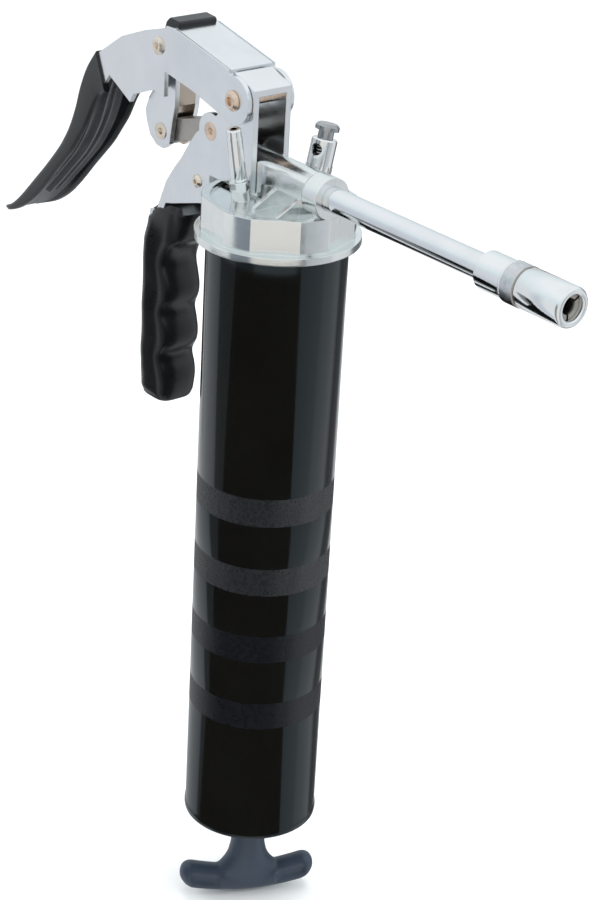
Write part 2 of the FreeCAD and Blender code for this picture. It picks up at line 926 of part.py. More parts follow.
crank = fuse(
    rod(6.5, "-(frame_in - 0.2)", "frame_in - 0.2", TO_Y, ("crank_x", 0, "crank_z")),
    rod(6, f"-{ARM}", ARM, TO_Y, ("eye_x", 0, "eye_z")),
    plate(
        [
            (f"eye_x - 4.5 * {slope}", f"eye_z + 4.5 * {level}"),
            (f"eye_x + 4.5 * {slope}", f"eye_z - 4.5 * {level}"),
            (f"crank_x + 4.5 * {slope}", f"crank_z - 4.5 * {level}"),
            (f"crank_x - 4.5 * {slope}", f"crank_z + 4.5 * {level}"),
        ],
        f"-{ARM}",
        ARM,
    ),
    rod(3.6, -2.4, 2.4, TO_Y, (rod_pin_x, 0, rod_pin_z)),
    plate(
        [
            (f"{rod_pin_x} - 3.4", rod_pin_z),
            (f"{rod_pin_x} + 3.4", rod_pin_z),
            ("crank_x + 3.6", "crank_z"),
            ("crank_x - 3.6", "crank_z"),
        ],
        -2.4,
        2.4,
    ),
)
crank = cut(
    crank,
    rod("crank_pin_r + run_gap", -8, 8, TO_Y, ("crank_x", 0, "crank_z")),
    rod("link_pin_r + 0.65", -8, 8, TO_Y, ("eye_x", 0, "eye_z")),
    rod(2, -8, 8, TO_Y, (rod_pin_x, 0, rod_pin_z)),
)
node("crank", crank)
node("plunger_pin", rod(2, -5.4, 5.4, TO_Y, (rod_pin_x, 0, rod_pin_z)))

# ---------------------------------------------------------------- barrel
node(
    "barrel_gasket",
    turned(
        [
            ("barrel_r - 2.6", "neck_height + 0.1"),
            ("barrel_r - 0.3", "neck_height + 0.1"),
            ("barrel_r - 0.3", "roof_z - 0.05"),
            ("barrel_r - 2.6", "roof_z - 0.05"),
        ]
    ),
)
node(
    "barrel_tube",
    turned(
        [
            ("barrel_r - barrel_wall", "-barrel_length"),
            ("barrel_r", "-barrel_length"),
            ("barrel_r + 0.4", "-barrel_length + 0.5"),
            ("barrel_r + 0.4", "-barrel_length + 2.6"),
            ("barrel_r", "-barrel_length + 3.2"),
            ("barrel_r", -0.3),
            ("barrel_r - 0.3", -0.3),
            ("barrel_r - 0.3", "neck_height"),
            ("barrel_r - barrel_wall", "neck_height"),
        ]
    ),
)
node(
    "end_cap",
    turned(
        [
            (6, "-barrel_length"),
            ("barrel_r - barrel_wall", "-barrel_length"),
            ("barrel_r - barrel_wall", "-barrel_length + 2"),
            (6, "-barrel_length + 2"),
        ]
    ),
)
node(
    "rod_bushing",
    turned(
        [
            ("rod_r + run_gap", "-barrel_length - 2.2"),
            (8, "-barrel_length - 2.2"),
            (8.6, "-barrel_length - 1.4"),
            (8.6, "-barrel_length"),
            (6, "-barrel_length"),
            (6, "-barrel_length + 5"),
            ("rod_r + run_gap", "-barrel_length + 5"),
        ]
    ),
)
node("follower_spring", coil("barrel_r - 6.5", 1, "-barrel_length + 2.05", -36.05, 13))
node(
    "follower_cup",
    turned(
        [
            ("rod_r + run_gap", -34),
            ("barrel_r - barrel_wall - run_gap", -34),
            ("barrel_r - barrel_wall - run_gap", -27),
            ("barrel_r - barrel_wall - 1.2", -26),
            ("barrel_r - barrel_wall - 3", -26),
            ("barrel_r - barrel_wall - 4.5", -30),
            ("rod_r + run_gap", -30),
        ]
    ),
)
node(
    "follower_plate",
    turned(
        [
            ("rod_r + run_gap", -42),
            ("rod_r + 3.5", -42),
            ("rod_r + 3.5", -36),
            ("barrel_r - 4", -36),
            ("barrel_r - 4", -34),
            ("rod_r + run_gap", -34),
        ]
    ),
)
node(
    "follower_rod",
    turned(
        [
            (0, "-barrel_length - handle_drop + 8"),
            ("rod_r", "-barrel_length - handle_drop + 8"),
            ("rod_r", -34.5),
            ("rod_r - 0.8", -33.5),
            ("rod_r - 0.8", -31.5),
            ("rod_r", -30.5),
            ("rod_r", -28),
            ("rod_r - 1", -27),
            (0, -27),
        ]
    ),
)

# ---------------------------------------------------------------- rod handle
bar_turn = Rotation(Vector(0, 0, 1), 63.5)
bar = []
for side in (-1, 1):
    along = bar_turn.multVec(Vector(side, 0, 0))
    reach_xy = Vector(along.x * 24.2, along.y * 24.2, 3.6)
    arm = turned(
        [
            (0, 0),
            (5.9, 0),
            (6.4, 24.5),
            (5.9, 27.2),
            (4.4, 29.4),
            (2.2, 30.7),
            (0, 31),
        ],
        (0, 0, "-barrel_length - handle_drop"),
        Rotation(Vector(0, 0, 1), reach_xy),
    )
    bar.append(arm)
stem = turned(
    [
        (0, "-barrel_length - handle_drop - 6.7"),
        (5.2, "-barrel_length - handle_drop - 6.7"),
        (8.8, "-barrel_length - handle_drop - 3"),
        (8.8, "-barrel_length - handle_drop + 5"),
        (7.4, "-barrel_length - handle_drop + 10"),
        (7.2, "-barrel_length - 5.4"),
        (6.4, "-barrel_length - 4.6"),
        (0, "-barrel_length - 4.6"),
    ]
)
node("t_handle", cut(fuse(stem, *bar), rod("rod_r", "-barrel_length - handle_drop + 8", "-barrel_length")))

# ---------------------------------------------------------------- checks and export
doc.recompute()
for obj in doc.Objects:
    if "Invalid" in obj.State or "Error" in obj.State:
        raise RuntimeError(f"{obj.Name} ({obj.Label}): {obj.State}")
for obj in finished:
    if obj.Shape.isNull() or not obj.Shape.isValid() or not obj.Shape.Solids:
        raise RuntimeError(f"{obj.Label}: no valid solid")
for obj in finished:
    obj.Shape.exportStep(f"parts/{obj.Label}.step")
print(len(finished), "sub-parts written")
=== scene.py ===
import json
import math

import bmesh
import bpy
from mathutils import Matrix, Vector


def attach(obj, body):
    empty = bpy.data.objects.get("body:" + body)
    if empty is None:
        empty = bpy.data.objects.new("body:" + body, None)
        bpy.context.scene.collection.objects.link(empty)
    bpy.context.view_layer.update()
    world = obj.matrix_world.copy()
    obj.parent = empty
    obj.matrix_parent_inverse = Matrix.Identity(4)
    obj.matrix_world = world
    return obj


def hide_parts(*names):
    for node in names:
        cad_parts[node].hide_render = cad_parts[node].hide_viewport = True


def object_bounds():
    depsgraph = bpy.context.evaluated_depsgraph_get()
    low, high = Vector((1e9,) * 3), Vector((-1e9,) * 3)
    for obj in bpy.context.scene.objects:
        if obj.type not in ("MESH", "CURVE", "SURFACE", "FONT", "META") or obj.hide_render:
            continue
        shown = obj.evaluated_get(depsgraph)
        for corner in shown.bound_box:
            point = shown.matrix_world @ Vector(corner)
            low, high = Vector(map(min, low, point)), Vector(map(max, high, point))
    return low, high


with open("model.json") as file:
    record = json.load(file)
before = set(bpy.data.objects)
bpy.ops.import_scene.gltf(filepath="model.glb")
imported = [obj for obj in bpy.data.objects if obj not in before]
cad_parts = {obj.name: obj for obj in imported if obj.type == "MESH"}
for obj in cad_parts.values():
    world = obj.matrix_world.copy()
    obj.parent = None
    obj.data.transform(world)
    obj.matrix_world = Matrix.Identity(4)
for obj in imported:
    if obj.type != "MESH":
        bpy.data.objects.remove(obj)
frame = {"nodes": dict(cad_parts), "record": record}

CAD_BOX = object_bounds()
# the object's sizes are in millimetres, the stage's in metres
MM = 0.001


# ---------------------------------------------------------------- small helpers
def new_object(name, verts, faces, smooth=True):
    mesh = bpy.data.meshes.new(name)
    mesh.from_pydata([tuple(v) for v in verts], [], faces)
    mesh.validate()
    bm = bmesh.new()
    bm.from_mesh(mesh)
    bmesh.ops.recalc_face_normals(bm, faces=bm.faces)
    bm.to_mesh(mesh)
    bm.free()
    obj = bpy.data.objects.new(name, mesh)
    bpy.context.scene.collection.objects.link(obj)
    if smooth:
        mesh.shade_smooth()
    return obj


def soften(obj, angle):
    """Smooth shading with the edges sharper than the angle kept crisp."""
    obj.data.shade_smooth()
    bm = bmesh.new()
    bm.from_mesh(obj.data)
    for edge in bm.edges:
        if len(edge.link_faces) == 2 and edge.calc_face_angle() > math.radians(angle):
            edge.smooth = False
    bm.to_mesh(obj.data)
    bm.free()


def finish_piece(obj, body, material, slot, *replaced):
    obj.data.materials.clear()
    obj.data.materials.append(material)
    if replaced:
        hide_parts(*replaced)
    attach(obj, body)


def loft(name, rings):
    """Skin closed rings of the same number of points; each end is closed with one face."""
    count = len(rings[0])
    verts = [p for ring in rings for p in ring]
    faces = []
    for r in range(len(rings) - 1):
        for i in range(count):
            j = (i + 1) % count
            faces.append((r * count + i, r * count + j, (r + 1) * count + j, (r + 1) * count + i))
    faces.append(tuple(reversed(range(count))))
    faces.append(tuple((len(rings) - 1) * count + i for i in range(count)))
    return new_object(name, verts, faces)


def spline(points, steps):
    """Catmull-Rom points through a list of tuples of any length."""
    out = []
    last = len(points) - 1
    for i in range(last):
        p0 = points[max(i - 1, 0)]
        p1 = points[i]
        p2 = points[i + 1]
        p3 = points[min(i + 2, last)]
        for s in range(steps):
            t = s / steps
            point = []
            for a, b, c, d in zip(p0, p1, p2, p3):
                square = 2 * a - 5 * b + 4 * c - d
                cube = 3 * b - a - 3 * c + d
                point.append(0.5 * (2 * b + (c - a) * t + square * t * t + cube * t * t * t))
            out.append(tuple(point))
    out.append(tuple(points[-1]))
    return out


def lookup(table, value, ease=True):
    """Value from a table of (key, value) rows, eased or in a straight line between the rows."""
    if value <= table[0][0]:
        return table[0][1]
    for (k0, v0), (k1, v1) in zip(table, table[1:]):
        if value <= k1:
            t = (value - k0) / (k1 - k0)
            if ease:
                t = t * t * (3 - 2 * t)
            return v0 + (v1 - v0) * t
    return table[-1][1]


# ---------------------------------------------------------------- materials
NOISE_LOW = 0.3
NOISE_HIGH = 0.7
GRAIN_HEIGHT = 0.0002
BEVEL_SAMPLES = 6


def material(name, color, metallic=0.0, rough=(0.3, 0.4), tint=0.06, wear=80.0, grain=1500.0,
             bump=0.05, stretch=(1, 1, 1), specular=0.5, bevel=0.0, gloss_tint=(1, 1, 1)):
    """Principled material with colour variation, roughness patches and a fine grain.

    wear and grain are the noise scales of the patches and the grain, tint is how far the colour
    varies, and bevel is the radius in metres of the rounded look of the edges.
    """
    mat = bpy.data.materials.new(name)
    mat.use_nodes = True
    tree = mat.node_tree
    tree.nodes.clear()
    out = tree.nodes.new("ShaderNodeOutputMaterial")
    shader = tree.nodes.new("ShaderNodeBsdfPrincipled")
    tree.links.new(shader.outputs[0], out.inputs[0])
    coords = tree.nodes.new("ShaderNodeTexCoord")
    mapping = tree.nodes.new("ShaderNodeMapping")
    mapping.inputs["Scale"].default_value = stretch
    tree.links.new(coords.outputs["Object"], mapping.inputs["Vector"])

    patches = tree.nodes.new("ShaderNodeTexNoise")
    patches.inputs["Scale"].default_value = wear
    patches.inputs["Detail"].default_value = 5
    patches.inputs["Roughness"].default_value = 0.6
    tree.links.new(coords.outputs["Object"], patches.inputs["Vector"])
    fine = tree.nodes.new("ShaderNodeTexNoise")
    fine.inputs["Scale"].default_value = grain
    fine.inputs["Detail"].default_value = 3
    tree.links.new(mapping.outputs[0], fine.inputs["Vector"])

    ramp = tree.nodes.new("ShaderNodeValToRGB")
    ramp.color_ramp.elements[0].position = NOISE_LOW
    ramp.color_ramp.elements[1].position = NOISE_HIGH
    dark = [c * (1 - tint) for c in color]
    light = [min(1.0, c * (1 + tint)) for c in color]
    ramp.color_ramp.elements[0].color = (*dark, 1)
    ramp.color_ramp.elements[1].color = (*light, 1)
    tree.links.new(patches.outputs[0], ramp.inputs[0])
    tree.links.new(ramp.outputs[0], shader.inputs["Base Color"])

    spread = tree.nodes.new("ShaderNodeMapRange")
    spread.inputs["From Min"].default_value = NOISE_LOW
    spread.inputs["From Max"].default_value = NOISE_HIGH
    spread.inputs["To Min"].default_value = rough[0]
    spread.inputs["To Max"].default_value = rough[1]
    tree.links.new(patches.outputs[0], spread.inputs["Value"])
    tree.links.new(spread.outputs[0], shader.inputs["Roughness"])

    relief = tree.nodes.new("ShaderNodeBump")
    relief.inputs["Strength"].default_value = bump
    relief.inputs["Distance"].default_value = GRAIN_HEIGHT
    tree.links.new(fine.outputs[0], relief.inputs["Height"])
    if bevel:
        round_edge = tree.nodes.new("ShaderNodeBevel")
        round_edge.samples = BEVEL_SAMPLES
        round_edge.inputs["Radius"].default_value = bevel
        tree.links.new(round_edge.outputs[0], relief.inputs["Normal"])
    tree.links.new(relief.outputs[0], shader.inputs["Normal"])
    shader.inputs["Metallic"].default_value = metallic
    shader.inputs["Specular IOR Level"].default_value = specular
    shader.inputs["Specular Tint"].default_value = (*gloss_tint, 1)
    return mat


# metals
SHEET_STEEL = {
    "color": (0.80, 0.82, 0.84), "metallic": 1.0, "rough": (0.16, 0.27), "tint": 0.04,
    "wear": 60, "grain": 700, "bump": 0.08, "stretch": (1, 1, 0.15), "bevel": 0.0004,
}
CAST = material(
    "plated_casting", color=(0.80, 0.82, 0.82), metallic=1.0, rough=(0.10, 0.24),
    tint=0.05, wear=120, grain=900, bump=0.10, bevel=0.0006,
)
PLATE = material("zinc_plate", **SHEET_STEEL)
CHROME = material(
    "chrome_plate", color=(0.82, 0.84, 0.85), metallic=1.0, rough=(0.05, 0.12),
    tint=0.03, wear=90, grain=1200, bump=0.04, bevel=0.0003,
)
PIPE = material(
    "pipe_plate", color=(0.80, 0.82, 0.84), metallic=1.0, rough=(0.06, 0.14),
    tint=0.03, wear=70, grain=1000, bump=0.05, stretch=(0.05, 1, 1),
)
COPPER = material(
    "tinted_pin", color=(0.78, 0.62, 0.50), metallic=1.0, rough=(0.20, 0.34),
    tint=0.16, wear=300, grain=1500, bump=0.10, bevel=0.0003,
)
# darker steel; on the coupler's jaws and groove rings this colour is painted shade, deep in the mouth and
# in the groove
DARK = material(
    "dark_steel_and_painted_shade", color=(0.42, 0.40, 0.37), metallic=1.0, rough=(0.25, 0.40),
    tint=0.10, wear=150, grain=900, bump=0.08, bevel=0.0003,
)
WIRE = material(
    "spring_wire", color=(0.45, 0.45, 0.46), metallic=1.0, rough=(0.25, 0.35),
    tint=0.06, wear=200, grain=1500, bump=0.05,
)
KNURL_METAL = material(
    "knurled_chrome", color=(0.60, 0.62, 0.64), metallic=1.0, rough=(0.16, 0.28),
    tint=0.15, wear=300, grain=1200, bump=0.05,
)
BUTTON = material(
    "button_steel", color=(0.40, 0.41, 0.43), metallic=1.0, rough=(0.14, 0.26),
    tint=0.12, wear=200, grain=1200, bump=0.06, bevel=0.0003,
)
LINK_PIN = material(
    "tinted_rivet", color=(0.80, 0.71, 0.60), metallic=1.0, rough=(0.16, 0.28),
    tint=0.12, wear=300, grain=1500, bump=0.10, bevel=0.0003,
)
LINK = material("link_plate", **SHEET_STEEL)

# paint, plastics and rubber
PAINT = material(
    "gloss_black_enamel", color=(0.0056, 0.0052, 0.0046), rough=(0.07, 0.13),
    tint=0.15, wear=25, grain=350, bump=0.012, gloss_tint=(0.66, 0.88, 1.0),
)
KNURL = material(
    "knurled_enamel", color=(0.017, 0.018, 0.020), rough=(0.22, 0.34),
    tint=0.25, wear=500, grain=1500, bump=0.05,
)
# the two lowest knurl bands get a darker, less glossy enamel
KNURL_FAINT = material(
    "darker_lower_knurl", color=(0.007, 0.0075, 0.010), rough=(0.24, 0.36),
    tint=0.25, wear=500, grain=1500, bump=0.05, specular=0.32,
)
BLACK = material(
    "black_moulding", color=(0.0075, 0.0077, 0.0085), rough=(0.24, 0.36),
    tint=0.25, wear=60, grain=2600, bump=0.10, specular=0.45,
)
SLATE = material(
    "slate_moulding", color=(0.032, 0.046, 0.069), rough=(0.34, 0.48),
    tint=0.12, wear=70, grain=2200, bump=0.10, specular=0.4,
)
# lighter grey base colour for the channel's inside and its ribs: painted sheen, standing in for the bright
# surroundings mirrored in the rough plastic
SHEEN_INNER = material(
    "painted_sheen_moulding", color=(0.085, 0.087, 0.093), rough=(0.45, 0.6),
    tint=0.2, wear=60, grain=2600, bump=0.10, specular=0.4,
)
RUBBER = material(
    "seal_rubber", color=(0.018, 0.018, 0.018), rough=(0.5, 0.65),
    tint=0.15, wear=120, grain=1800, bump=0.08,
)


def toned_inside(mat, half, tone):
    """Give what lies within half of the middle plane another colour."""
    tree = mat.node_tree
    shader = next(n for n in tree.nodes if n.bl_idname == "ShaderNodeBsdfPrincipled")
    plain = shader.inputs["Base Color"].links[0].from_socket
    coords = tree.nodes.new("ShaderNodeTexCoord")
    split = tree.nodes.new("ShaderNodeSeparateXYZ")
    tree.links.new(coords.outputs["Object"], split.inputs[0])
    across = tree.nodes.new("ShaderNodeMath")
    across.operation = "ABSOLUTE"
    tree.links.new(split.outputs["Y"], across.inputs[0])
    inside = tree.nodes.new("ShaderNodeMath")
    inside.operation = "LESS_THAN"
    inside.inputs[1].default_value = half
    tree.links.new(across.outputs[0], inside.inputs[0])
    mix = tree.nodes.new("ShaderNodeMix")
    mix.data_type = "RGBA"
    mix.inputs["B"].default_value = (*tone, 1)
    tree.links.new(inside.outputs[0], mix.inputs["Factor"])
    tree.links.new(plain, mix.inputs["A"])
    tree.links.new(mix.outputs["Result"], shader.inputs["Base Color"])


LINK_INNER_HALF = 0.0041
toned_inside(LINK, LINK_INNER_HALF, (0.56, 0.48, 0.40))

LOOKS = {
    "cast_head": CAST, "plated_steel": PLATE, "chrome_steel": CHROME, "pipe_steel": PIPE,
    "copper_pin": COPPER, "dark_steel": DARK, "spring_steel": WIRE, "black_paint": PAINT,
    "black_plastic": BLACK, "grey_plastic": SLATE, "dark_plastic": BLACK, "seal_rubber": RUBBER,
}
for part in frame["record"]["subparts"]:
    obj = frame["nodes"][part["node"]]
    obj.data.materials.clear()
    obj.data.materials.append(LOOKS[part["material_slot"]])
SPECIAL_LOOKS = {
    "filler_nipple": CHROME, "bleeder_body": CHROME, "bleeder_button": BUTTON, "drive_link": LINK,
    "link_pin": LINK_PIN, "crank_link_pin": LINK_PIN, "bracket_rivets": LINK_PIN,
}
for node, look in SPECIAL_LOOKS.items():
    frame["nodes"][node].data.materials[0] = look


# ---------------------------------------------------------------- barrel with knurled bands
BARREL_R = 28.5
BARREL_INSIDE_R = 27.3
BARREL_NECK_R = 28.2
BARREL_TOP = 11.0
BARREL_LOW = -266.6
BAND_TOPS = (-102.4, -134.3, -166.0, -198.4)
BAND_HEIGHT = 12.4
BAND_MARGIN = 0.3
KNURL_STEP = 0.62
KNURL_DEPTHS = (0.15, 0.15, 0.09, 0.09)
KNURLS_AROUND = 288
FAINT_BELOW = BAND_TOPS[2] + 5
# rolled rim at the lower end: (how far it stands out, height above the end)
RIM = [(0.0, 3.4), (0.1, 3.0), (0.36, 2.7), (0.4, 2.3), (0.4, 0.8), (0.3, 0.3), (0.0, 0.0), (-0.8, 0.05)]


def barrel_profile():
    """Levels of the barrel as (radius, z, kind, depth): kind 0 is plain, 1 and 2 alternate in a knurl."""
    levels = [
        (BARREL_INSIDE_R, BARREL_TOP, 0, 0.0),
        (BARREL_NECK_R, BARREL_TOP, 0, 0.0),
        (BARREL_NECK_R, -0.3, 0, 0.0),
        (BARREL_R - 0.02, -0.3, 0, 0.0),
        (BARREL_R, -0.5, 0, 0.0),
    ]
    rows = int(BAND_HEIGHT / KNURL_STEP)
    for top, depth in zip(BAND_TOPS, KNURL_DEPTHS):
        levels.append((BARREL_R, top + BAND_MARGIN, 0, 0.0))
        for row in range(rows + 1):
            levels.append((BARREL_R, top - row * BAND_HEIGHT / rows, 1 + row % 2, depth))
        levels.append((BARREL_R, top - BAND_HEIGHT - BAND_MARGIN, 0, 0.0))
    for bulge, height in RIM:
        levels.append((BARREL_R + bulge, BARREL_LOW + height, 0, 0.0))
    levels.append((BARREL_INSIDE_R, BARREL_LOW + 0.4, 0, 0.0))
    levels.append((BARREL_INSIDE_R, BARREL_LOW + 3, 0, 0.0))
    return levels


def make_barrel():
    count = KNURLS_AROUND
    profile = barrel_profile()
    verts = []
    for radius, z, kind, depth in profile:
        for i in range(count):
            sunk = kind and (i + kind) % 2 == 1
            r = radius - (depth if sunk else 0.0)
            angle = 2 * math.pi * i / count
            verts.append((r * math.cos(angle) * MM, r * math.sin(angle) * MM, z * MM))
    faces = []
    knurled = []
    for r in range(len(profile)):
        s = (r + 1) % len(profile)
        kind = profile[r][2]
        band = kind and profile[s][2]
        for i in range(count):
            j = (i + 1) % count
            a, b, c, d = (r * count + i, r * count + j, s * count + j, s * count + i)
            if not band:
                faces.append((a, b, c, d))
                knurled.append(False)
                continue
            if (i + kind) % 2 == 0:
                faces += [(a, b, c), (a, c, d)]
            else:
                faces += [(a, b, d), (b, c, d)]
            knurled += [True, True]
    obj = new_object("barrel_skin", verts, faces)
    soften(obj, 50)
    finish_piece(obj, "barrel", PAINT, "black_paint", "barrel_tube")
    obj.data.materials.append(KNURL)
    obj.data.materials.append(KNURL_FAINT)
    for face, is_knurl in zip(obj.data.polygons, knurled):
        if is_knurl:
            face.material_index = 1 if face.center.z > FAINT_BELOW * MM else 2
            face.use_smooth = False


make_barrel()


# ---------------------------------------------------------------- pistol grip
# finger side and palm side as (z, x), and half width as (z, y)
GRIP_FRONT = [
    (-95, -64.5), (-93.6, -61.6), (-90, -60.2), (-84, -59.6), (-79, -60.6), (-75, -62.6), (-72, -62.4),
    (-67.5, -59.6), (-63, -59.0), (-58, -60.2), (-54, -61.8), (-51, -61.5), (-46.5, -59.4), (-42, -59.0),
    (-37, -60.4), (-32, -62.1), (-28, -61.6), (-23, -59.0), (-19, -55.2), (-12, -52.7), (-8, -52.1),
    (-5, -52.4), (-3.2, -54.5),
]
GRIP_BACK = [
    (-95, -76.5), (-93.4, -79), (-90, -79.9), (-50, -79.8), (-24, -79.4), (-14, -77.4),
    (-9.5, -74.8), (-7, -71.5), (-3.2, -62),
]
GRIP_HALF = [
    (-95, 6.8), (-93.4, 8.6), (-90, 9.6), (-80, 10.2), (-70, 10.4), (-50, 10.45), (-20, 10.4),
    (-8, 9.9), (-4.4, 8.6), (-3.2, 6.6),
]
GRIP_AROUND = 64
GRIP_LOW = -94.9
GRIP_TOP = -3.25
RING_STEP = 1.1
END_STEP = 0.5
LEAST_STEP = 0.05
ENDS = (-92, -9)
VALLEY_HEIGHTS = (-31, -53, -74)
VALLEY_REACH = 5.5
SQUARENESS = 3.6
# the finger side is pinched in front of the bracket's steel, and pinched more in the valleys
PINCH_START = -64.6
PINCH_SHIFT = 3.4
PINCH_RUN = 4.5
PINCH = 0.12
VALLEY_PINCH = 0.40
# room for the drive link between the bracket's plates, as (from, to) along x, y and z
POCKET = ((-64.6, -48.0), (-6.65, 6.65), (-6.6, 2.0))


def cut_pocket(obj, span_x, span_y, span_z):
    """Take a box, given by its (from, to) along each axis, out of a mesh."""
    corners = [(x * MM, y * MM, z * MM) for x in span_x for y in span_y for z in span_z]
    faces = [(0, 1, 3, 2), (4, 6, 7, 5), (0, 4, 5, 1), (2, 3, 7, 6), (0, 2, 6, 4), (1, 5, 7, 3)]
    cutter = new_object("pocket_cutter", corners, faces, smooth=False)
    pocket = obj.modifiers.new("pocket", "BOOLEAN")
    pocket.operation = "DIFFERENCE"
    pocket.solver = "EXACT"
    pocket.object = cutter
    depsgraph = bpy.context.evaluated_depsgraph_get()
    mesh = bpy.data.meshes.new_from_object(obj.evaluated_get(depsgraph))
    obj.modifiers.clear()
    obj.data = mesh
    bpy.data.objects.remove(cutter)


def grip_levels():
    """Heights of the grip's rings, closer together at the rounded ends."""
    levels = []
    z = GRIP_LOW
    while z < GRIP_TOP - LEAST_STEP:
        levels.append(z)
        z += RING_STEP if ENDS[0] <= z <= ENDS[1] else END_STEP
    levels.append(GRIP_TOP)
    return levels


def make_pistol_grip():
    rings = []
    front_curve = spline(GRIP_FRONT, 6)
    for z in grip_levels():
        front = lookup(front_curve, z, ease=False)
        back = lookup(GRIP_BACK, z)
        half = lookup(GRIP_HALF, z)
        groove = max(math.exp(-(((z - valley) / VALLEY_REACH) ** 2)) for valley in VALLEY_HEIGHTS)
        mid = (front + back) / 2
        reach = (front - back) / 2
        ring = []
        for i in range(GRIP_AROUND):
            angle = 2 * math.pi * i / GRIP_AROUND
            c = math.cos(angle)
            s = math.sin(angle)
            x = mid + reach * math.copysign(abs(c) ** (2 / SQUARENESS), c)
            y = half * math.copysign(abs(s) ** (2 / SQUARENESS), s)
            if c > 0:
                lead = min(1.0, max(0.0, (x - PINCH_START - PINCH_SHIFT * (1 - groove)) / PINCH_RUN))
                lead = lead * lead * (3 - 2 * lead)
                y *= 1 - (PINCH + VALLEY_PINCH * groove) * lead
            ring.append((x * MM, y * MM, z * MM))
        rings.append(ring)
    obj = loft("grip_moulding", rings)
    cut_pocket(obj, *POCKET)
    soften(obj, 60)
    finish_piece(obj, "head", BLACK, "black_plastic", "pistol_grip")


make_pistol_grip()


# ---------------------------------------------------------------- lever handle, a U channel
# closed back and free edges as (x, z), from the steel lever to the tip
LEVER_BACK = [
    (-110.2, 49), (-117.1, 40.5), (-122.3, 30.8), (-126.2, 20.8), (-130.6, 12), (-135, 5.5), (-140, -1),
    (-150, -12), (-160, -22), (-170, -32), (-178, -38.6), (-184, -41.6),
]
LEVER_FREE = [
    (-103, 33), (-107.6, 31), (-112.6, 24), (-117.6, 15), (-122.7, 8), (-128, 1), (-133.6, -5),
    (-142.4, -14), (-151.8, -24), (-161, -32.5), (-171, -39), (-181.5, -43.2),
]
CHANNEL_HALF = 12.35
CHANNEL_TAPER = 0.95
CHANNEL_WALL = 3.1
CHANNEL_BACK = 3.4
CHANNEL_CORNER = 3.2
# the free end narrows over its last millimetres along x
END_START = 179.5
END_RUN = 4.5
END_NARROWING = 2.6
# ribs inside the channel: (y, thickness, clearance to the free edge, greatest height above the back)
RIBS = ((-4.6, 1.0, 2.2, 5.2), (0.0, 1.2, 1.2, 6.4), (4.6, 1.0, 2.2, 5.2))
RIB_ROOT = 2.6
RIB_LEAST = 3.0
RIB_END_X = -168
INSERT_HALF = 9.3
INSERT_OUTLINE = [
    (-56.1, 72.0), (-56.1, 73.0), (-56.9, 73.7), (-63.1, 74.2), (-65.3, 72.1), (-66.4, 68.7),
    (-77.5, 64.7), (-92.5, 58.7), (-104, 51.2), (-109, 47.2), (-111.5, 44.2), (-107.5, 43.6),
    (-92.5, 55.7), (-77.5, 62.1), (-71.5, 65.3), (-67, 66.9), (-62.5, 67.8), (-57.1, 69.4),
]


def channel_section(depth, half, corner):
    """U outline as (distance from the back, y): round outside corners and round free edges."""
    r = min(corner, depth * 0.45)
    turns = [math.pi / 2 * k / 6 for k in range(7)]
    outline = [(r - r * math.cos(a), half - r + r * math.sin(a)) for a in turns]
    wall = CHANNEL_WALL
    e = min(wall * 0.45, depth * 0.2)
    turns = [math.pi / 2 * k / 4 for k in range(5)]
    outline += [(depth - e + e * math.sin(a), half - e + e * math.cos(a)) for a in turns]
    outline += [(depth - e + e * math.cos(a), half - wall + e - e * math.sin(a)) for a in turns]
    inner = min(CHANNEL_BACK, depth - e)
    outline.append((inner + min(1.5, (depth - inner) * 0.4), half - wall))
    outline.append((inner + 0.3, half - wall - 0.5))
    outline.append((inner, half - wall - 1.6))
    return outline + [(d, -y) for d, y in reversed(outline)]


def lever_stations():
    """Points along the lever as (point on the back, unit step to the free edge, depth)."""
    stations = []
    for (bx, bz), (fx, fz) in zip(spline(LEVER_BACK, 8), spline(LEVER_FREE, 8)):
        run = Vector((fx - bx, 0, fz - bz))
        stations.append((Vector((bx, 0, bz)), run.normalized(), run.length))
    return stations


def make_lever_channel(stations):
    rings = []
    total = len(stations) - 1
    for i, (back, step, depth) in enumerate(stations):
        t = i / total
        near_end = max(0.0, (-back.x - END_START) / END_RUN)
        narrowing = END_NARROWING * (1 - math.sqrt(max(0.0, 1 - near_end ** 2)))
        half = CHANNEL_HALF - CHANNEL_TAPER * t - narrowing
        corner = CHANNEL_CORNER * min(1.0, 0.28 + 1.6 * t)
        ring = []
        for d, y in channel_section(depth, half, corner):
            ring.append(((back.x + step.x * d) * MM, y * MM, (back.z + step.z * d) * MM))
        rings.append(ring)
    obj = loft("lever_moulding", rings)
    soften(obj, 50)
    finish_piece(obj, "lever", BLACK, "black_plastic", "lever_grip")
    # the channel's inside faces take the lighter grey of the painted sheen
    obj.data.materials.append(SHEEN_INNER)
    across = len(rings[0])
    inside = range(17, across - 18)
    for index, face in enumerate(obj.data.polygons):
        if index < total * across and index % across in inside:
            face.material_index = 1


def make_lever_rib(number, stations, offset, thick, clearance, greatest):
    rings = []
    for back, step, depth in stations:
        if back.x < RIB_END_X:
            break
        low = back + step * RIB_ROOT
        high = back + step * max(min(depth - clearance, greatest), RIB_LEAST)
        ring = []
        for point, y in ((low, -thick), (low, thick), (high, thick * 0.7), (high, -thick * 0.7)):
            ring.append((point.x * MM, (y * 0.5 + offset) * MM, point.z * MM))
        rings.append(ring)
    rib = loft(f"lever_rib_{number}", rings)
    soften(rib, 40)
    # the ribs take the same painted sheen as the channel's inside
    finish_piece(rib, "lever", SHEEN_INNER, "black_plastic")


